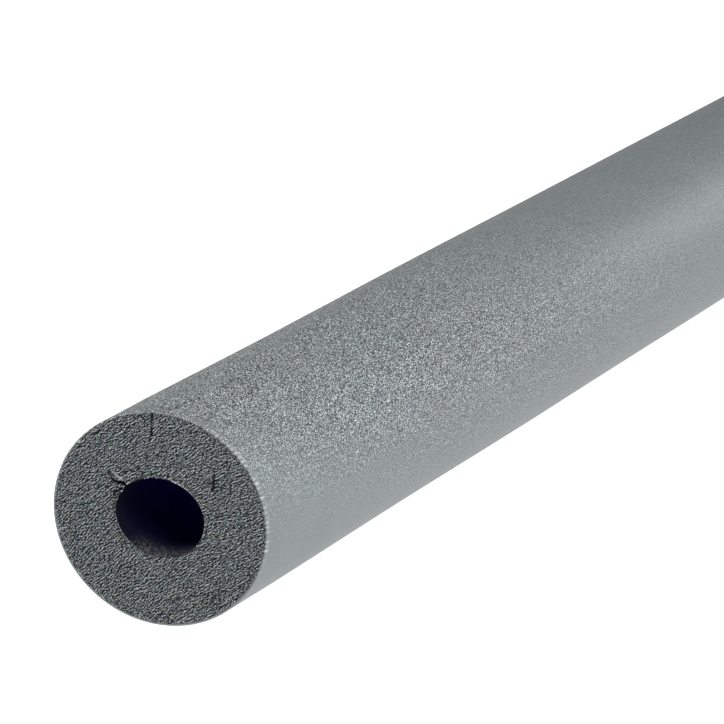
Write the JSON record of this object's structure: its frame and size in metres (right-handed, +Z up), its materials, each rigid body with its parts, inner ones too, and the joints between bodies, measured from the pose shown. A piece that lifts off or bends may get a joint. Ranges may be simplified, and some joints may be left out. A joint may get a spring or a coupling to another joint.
{
  "type": "pipe insulation lagging",
  "caption": "Straight grey foam tube with a half-slit bore, slipped over a water or heating pipe to insulate it.",
  "frame": {"origin": "on the level surface that the sleeve lies on, straight below the middle of its length", "axes": "+Z up; +Y along the sleeve from its near end, the one with the nick, to its far end; +X to the right seen from the near end"},
  "size_m": [0.0448, 1, 0.0413],
  "materials": {
    "foam": "closed-cell polyethylene foam, satin grey skin outside and an open cut-cell texture on the ends"
  },
  "bodies": {
    "root": {"foam_sleeve": "foam"}
  },
  "joints": []
}
